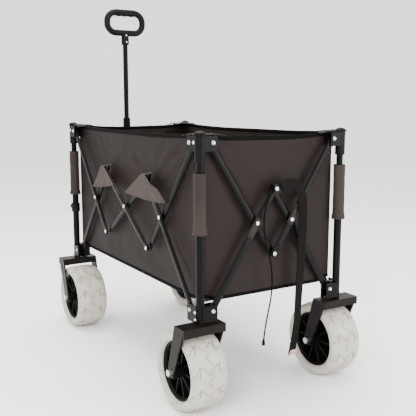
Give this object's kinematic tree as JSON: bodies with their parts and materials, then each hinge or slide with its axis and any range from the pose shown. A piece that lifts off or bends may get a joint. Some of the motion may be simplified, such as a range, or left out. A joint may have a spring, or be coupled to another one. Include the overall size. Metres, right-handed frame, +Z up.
{
  "type": "folding beach cart",
  "caption": "Folding fabric utility cart with crossed-bar sides, telescopic posts, swivel balloon casters and a telescopic pull handle.",
  "frame": {"origin": "on the ground under the middle of the cart", "axes": "+X towards the handle end, +Y to the cart's left side, +Z up"},
  "size_m": [1.002, 0.596, 1.138],
  "materials": {
    "tyre": "light grey foam tyre, moulded tread",
    "rim_plastic": "dark ribbed plastic",
    "fork_paint": "dark powder coat",
    "zinc": "bright zinc plate",
    "canvas": "coated oxford cloth",
    "floor_cloth": "padded oxford cloth",
    "webbing": "black webbing",
    "black_plastic": "moulded black plastic",
    "black_paint": "semi-gloss black powder coat"
  },
  "bodies": {
    "corner_fl": {"post_fl": "black_paint", "post_clip": "black_plastic"},
    "top_fl": {"upper_post_fl": "black_plastic", "wall_front": "canvas"},
    "caster_fl": {"fork_fl": "fork_paint"},
    "wheel_fl": {"tyre_fl": "tyre", "rim_fl": "rim_plastic"},
    "corner_rl": {"post_rl": "black_paint"},
    "top_rl": {"upper_post_rl": "black_plastic", "wall_rear": "canvas", "wall_left": "canvas"},
    "caster_rl": {"fork_rl": "fork_paint"},
    "wheel_rl": {"tyre_rl": "tyre", "rim_rl": "rim_plastic"},
    "corner_rr": {"post_rr": "black_paint"},
    "top_rr": {"upper_post_rr": "black_plastic", "wall_right": "canvas"},
    "caster_rr": {"fork_rr": "fork_paint"},
    "wheel_rr": {"tyre_rr": "tyre", "rim_rr": "rim_plastic"},
    "corner_fr": {"post_fr": "black_paint"},
    "top_fr": {"upper_post_fr": "black_plastic"},
    "caster_fr": {"fork_fr": "fork_paint"},
    "wheel_fr": {"tyre_fr": "tyre", "rim_fr": "rim_plastic"},
    "front_arm_1": {"front_bar_1": "black_paint", "front_rivets": "zinc"},
    "front_arm_2": {"front_bar_2": "black_paint"},
    "front_arm_3": {"front_bar_3": "black_paint"},
    "front_arm_4": {"front_bar_4": "black_paint"},
    "left_arm_1": {"left_bar_1": "black_paint"},
    "left_arm_2": {"left_bar_2": "black_paint"},
    "left_arm_3": {"left_bar_3": "black_paint", "left_rivets": "zinc"},
    "left_arm_4": {"left_bar_4": "black_paint"},
    "left_arm_5": {"left_bar_5": "black_paint"},
    "left_arm_6": {"left_bar_6": "black_paint"},
    "rear_arm_1": {"rear_bar_1": "black_paint", "rear_rivets": "zinc"},
    "rear_arm_2": {"rear_bar_2": "black_paint"},
    "rear_arm_3": {"rear_bar_3": "black_paint"},
    "rear_arm_4": {"rear_bar_4": "black_paint"},
    "right_arm_1": {"right_bar_1": "black_paint"},
    "right_arm_2": {"right_bar_2": "black_paint"},
    "right_arm_3": {"right_bar_3": "black_paint", "right_rivets": "zinc"},
    "right_arm_4": {"right_bar_4": "black_paint"},
    "right_arm_5": {"right_bar_5": "black_paint"},
    "right_arm_6": {"right_bar_6": "black_paint"},
    "floor_leaf_left": {"floor_left": "floor_cloth"},
    "floor_leaf_right": {"floor_right": "floor_cloth"},
    "handle_bracket": {"handle_mount": "black_plastic"},
    "handle_pole": {"handle_tube": "black_paint"},
    "handle_top": {"handle_slider": "black_paint", "handle_grip": "black_plastic"},
    "strap_hanger": {"strap_tab": "zinc", "closing_strap": "webbing", "drawstring": "webbing"}
  },
  "joints": [
    {"name": "fold", "type": "hinge", "parent": "corner_rl", "child": "rear_arm_1", "pos_m": [-0.44, 0.196, 0.273], "axis": [-1, 0, 0], "range_deg": [0, 21], "deforming": ["wall_rear", "wall_front", "wall_left", "wall_right", "floor_left", "floor_right", "closing_strap", "drawstring"]},
    {"name": "rear_top_mid", "type": "hinge", "parent": "rear_arm_1", "child": "rear_arm_3", "pos_m": [-0.44, 0, 0.575], "axis": [1, 0, 0], "range_deg": [0, 42.02]},
    {"name": "rear_foot_right", "type": "hinge", "parent": "rear_arm_3", "child": "corner_rr", "pos_m": [-0.44, -0.196, 0.273], "axis": [-1, 0, 0], "range_deg": [0, 21.02]},
    {"name": "rear_cross_left", "type": "hinge", "parent": "rear_arm_1", "child": "rear_arm_2", "pos_m": [-0.44, 0.05711, 0.487], "axis": [1, 0, 0], "range_deg": [0, 42.02]},
    {"name": "rear_cross_right", "type": "hinge", "parent": "rear_arm_3", "child": "rear_arm_4", "pos_m": [-0.44, -0.05711, 0.487], "axis": [-1, 0, 0], "range_deg": [0, 42.02]},
    {"name": "rear_head_left", "type": "hinge", "parent": "rear_arm_2", "child": "top_rl", "pos_m": [-0.44, 0.196, 0.701], "axis": [-1, 0, 0], "range_deg": [0, 21.02]},
    {"name": "rear_head_right", "type": "hinge", "parent": "rear_arm_4", "child": "top_rr", "pos_m": [-0.44, -0.196, 0.701], "axis": [1, 0, 0], "range_deg": [0, 21.02]},
    {"name": "left_foot_rear", "type": "hinge", "parent": "corner_rl", "child": "left_arm_5", "pos_m": [-0.408, 0.228, 0.273], "axis": [0, -1, 0], "range_deg": [0, 13.69]},
    {"name": "left_top_rear", "type": "hinge", "parent": "left_arm_5", "child": "left_arm_3", "pos_m": [-0.148, 0.228, 0.589], "axis": [0, 1, 0], "range_deg": [0, 20.55]},
    {"name": "left_centre", "type": "hinge", "parent": "left_arm_3", "child": "left_arm_4", "pos_m": [0, 0.228, 0.487], "axis": [0, -1, 0], "range_deg": [0, 13.74]},
    {"name": "left_top_front", "type": "hinge", "parent": "left_arm_4", "child": "left_arm_2", "pos_m": [0.148, 0.228, 0.589], "axis": [0, 1, 0], "range_deg": [0, 20.55]},
    {"name": "left_foot_front", "type": "hinge", "parent": "left_arm_2", "child": "corner_fl", "pos_m": [0.408, 0.228, 0.273], "axis": [0, -1, 0], "range_deg": [0, 13.69]},
    {"name": "left_cross_rear", "type": "hinge", "parent": "left_arm_5", "child": "left_arm_6", "pos_m": [-0.23192, 0.228, 0.487], "axis": [0, 1, 0], "range_deg": [0, 27.37]},
    {"name": "left_cross_front", "type": "hinge", "parent": "left_arm_2", "child": "left_arm_1", "pos_m": [0.23192, 0.228, 0.487], "axis": [0, -1, 0], "range_deg": [0, 27.37]},
    {"name": "front_foot_left", "type": "hinge", "parent": "corner_fl", "child": "front_arm_3", "pos_m": [0.44, 0.196, 0.273], "axis": [-1, 0, 0], "range_deg": [0, 21.02]},
    {"name": "front_top_mid", "type": "hinge", "parent": "front_arm_3", "child": "front_arm_1", "pos_m": [0.44, 0, 0.575], "axis": [1, 0, 0], "range_deg": [0, 42.02]},
    {"name": "front_foot_right", "type": "hinge", "parent": "front_arm_1", "child": "corner_fr", "pos_m": [0.44, -0.196, 0.273], "axis": [-1, 0, 0], "range_deg": [0, 21.02]},
    {"name": "front_cross_left", "type": "hinge", "parent": "front_arm_3", "child": "front_arm_4", "pos_m": [0.44, 0.05711, 0.487], "axis": [1, 0, 0], "range_deg": [0, 42.02]},
    {"name": "front_cross_right", "type": "hinge", "parent": "front_arm_1", "child": "front_arm_2", "pos_m": [0.44, -0.05711, 0.487], "axis": [-1, 0, 0], "range_deg": [0, 42.02]},
    {"name": "front_head_left", "type": "hinge", "parent": "front_arm_4", "child": "top_fl", "pos_m": [0.44, 0.196, 0.701], "axis": [-1, 0, 0], "range_deg": [0, 21.02]},
    {"name": "front_head_right", "type": "hinge", "parent": "front_arm_2", "child": "top_fr", "pos_m": [0.44, -0.196, 0.701], "axis": [1, 0, 0], "range_deg": [0, 21.02]},
    {"name": "right_foot_rear", "type": "hinge", "parent": "corner_rr", "child": "right_arm_2", "pos_m": [-0.408, -0.228, 0.273], "axis": [0, -1, 0], "range_deg": [0, 13.69]},
    {"name": "right_top_rear", "type": "hinge", "parent": "right_arm_2", "child": "right_arm_4", "pos_m": [-0.148, -0.228, 0.589], "axis": [0, 1, 0], "range_deg": [0, 20.55]},
    {"name": "right_centre", "type": "hinge", "parent": "right_arm_4", "child": "right_arm_3", "pos_m": [0, -0.228, 0.487], "axis": [0, -1, 0], "range_deg": [0, 13.74]},
    {"name": "right_top_front", "type": "hinge", "parent": "right_arm_3", "child": "right_arm_5", "pos_m": [0.148, -0.228, 0.589], "axis": [0, 1, 0], "range_deg": [0, 20.55]},
    {"name": "right_cross_rear", "type": "hinge", "parent": "right_arm_2", "child": "right_arm_1", "pos_m": [-0.23192, -0.228, 0.487], "axis": [0, 1, 0], "range_deg": [0, 27.37]},
    {"name": "right_cross_front", "type": "hinge", "parent": "right_arm_5", "child": "right_arm_6", "pos_m": [0.23192, -0.228, 0.487], "axis": [0, -1, 0], "range_deg": [0, 27.37]},
    {"name": "handle_bracket_turn", "type": "hinge", "parent": "front_arm_4", "child": "handle_bracket", "pos_m": [0.44, 0, 0.399], "axis": [-1, 0, 0], "range_deg": [0, 21.02]},
    {"name": "strap_hanger_turn", "type": "hinge", "parent": "rear_arm_1", "child": "strap_hanger", "pos_m": [-0.44, 0, 0.575], "axis": [1, 0, 0], "range_deg": [0, 21.02]},
    {"name": "floor_lift_left", "type": "hinge", "parent": "corner_rl", "child": "floor_leaf_left", "pos_m": [0, 0.2079, 0.291], "axis": [-1, 0, 0], "range_deg": [0, 66.11]},
    {"name": "floor_lift_right", "type": "hinge", "parent": "corner_rr", "child": "floor_leaf_right", "pos_m": [0, -0.2079, 0.291], "axis": [1, 0, 0], "range_deg": [0, 66.11]},
    {"name": "swivel_fl", "type": "hinge", "parent": "corner_fl", "child": "caster_fl", "pos_m": [0.44, 0.228, 0.241], "axis": [0, 0, 1], "continuous": true},
    {"name": "roll_fl", "type": "hinge", "parent": "caster_fl", "child": "wheel_fl", "pos_m": [0.393, 0.228, 0.108], "axis": [0, 1, 0], "continuous": true},
    {"name": "swivel_rl", "type": "hinge", "parent": "corner_rl", "child": "caster_rl", "pos_m": [-0.44, 0.228, 0.241], "axis": [0, 0, 1], "continuous": true},
    {"name": "roll_rl", "type": "hinge", "parent": "caster_rl", "child": "wheel_rl", "pos_m": [-0.393, 0.228, 0.108], "axis": [0, 1, 0], "continuous": true},
    {"name": "swivel_rr", "type": "hinge", "parent": "corner_rr", "child": "caster_rr", "pos_m": [-0.44, -0.228, 0.241], "axis": [0, 0, 1], "continuous": true},
    {"name": "roll_rr", "type": "hinge", "parent": "caster_rr", "child": "wheel_rr", "pos_m": [-0.393, -0.228, 0.108], "axis": [0, 1, 0], "continuous": true},
    {"name": "swivel_fr", "type": "hinge", "parent": "corner_fr", "child": "caster_fr", "pos_m": [0.44, -0.228, 0.241], "axis": [0, 0, 1], "continuous": true},
    {"name": "roll_fr", "type": "hinge", "parent": "caster_fr", "child": "wheel_fr", "pos_m": [0.393, -0.228, 0.108], "axis": [0, 1, 0], "continuous": true},
    {"name": "handle_swing", "type": "hinge", "parent": "handle_bracket", "child": "handle_pole", "pos_m": [0.485, 0, 0.345], "axis": [0, 1, 0], "range_deg": [0, 100]},
    {"name": "handle_slide", "type": "slide", "parent": "handle_pole", "child": "handle_top", "axis": [0, 0, 1], "range_m": [-0.255, 0]}
  ],
  "couplings": [
    {"joint": "rear_top_mid", "follows": "fold", "ratio": 2},
    {"joint": "rear_foot_right", "follows": "fold", "ratio": 1},
    {"joint": "rear_cross_left", "follows": "fold", "ratio": 2},
    {"joint": "rear_cross_right", "follows": "fold", "ratio": 2},
    {"joint": "rear_head_left", "follows": "fold", "ratio": 1},
    {"joint": "rear_head_right", "follows": "fold", "ratio": 1},
    {"joint": "left_foot_rear", "follows": "fold", "ratio": 0.65116},
    {"joint": "left_top_rear", "follows": "fold", "ratio": 0.97785},
    {"joint": "left_centre", "follows": "fold", "ratio": 0.65338},
    {"joint": "left_top_front", "follows": "fold", "ratio": 0.97785},
    {"joint": "left_foot_front", "follows": "fold", "ratio": 0.65116},
    {"joint": "left_cross_rear", "follows": "fold", "ratio": 1.3023},
    {"joint": "left_cross_front", "follows": "fold", "ratio": 1.3023},
    {"joint": "front_foot_left", "follows": "fold", "ratio": 1},
    {"joint": "front_top_mid", "follows": "fold", "ratio": 2},
    {"joint": "front_foot_right", "follows": "fold", "ratio": 1},
    {"joint": "front_cross_left", "follows": "fold", "ratio": 2},
    {"joint": "front_cross_right", "follows": "fold", "ratio": 2},
    {"joint": "front_head_left", "follows": "fold", "ratio": 1},
    {"joint": "front_head_right", "follows": "fold", "ratio": 1},
    {"joint": "right_foot_rear", "follows": "fold", "ratio": 0.65116},
    {"joint": "right_top_rear", "follows": "fold", "ratio": 0.97785},
    {"joint": "right_centre", "follows": "fold", "ratio": 0.65338},
    {"joint": "right_top_front", "follows": "fold", "ratio": 0.97785},
    {"joint": "right_cross_rear", "follows": "fold", "ratio": 1.3023},
    {"joint": "right_cross_front", "follows": "fold", "ratio": 1.3023},
    {"joint": "handle_bracket_turn", "follows": "fold", "ratio": 1},
    {"joint": "strap_hanger_turn", "follows": "fold", "ratio": 1},
    {"joint": "floor_lift_left", "follows": "fold", "ratio": 3.1473},
    {"joint": "floor_lift_right", "follows": "fold", "ratio": 3.1473}
  ]
}
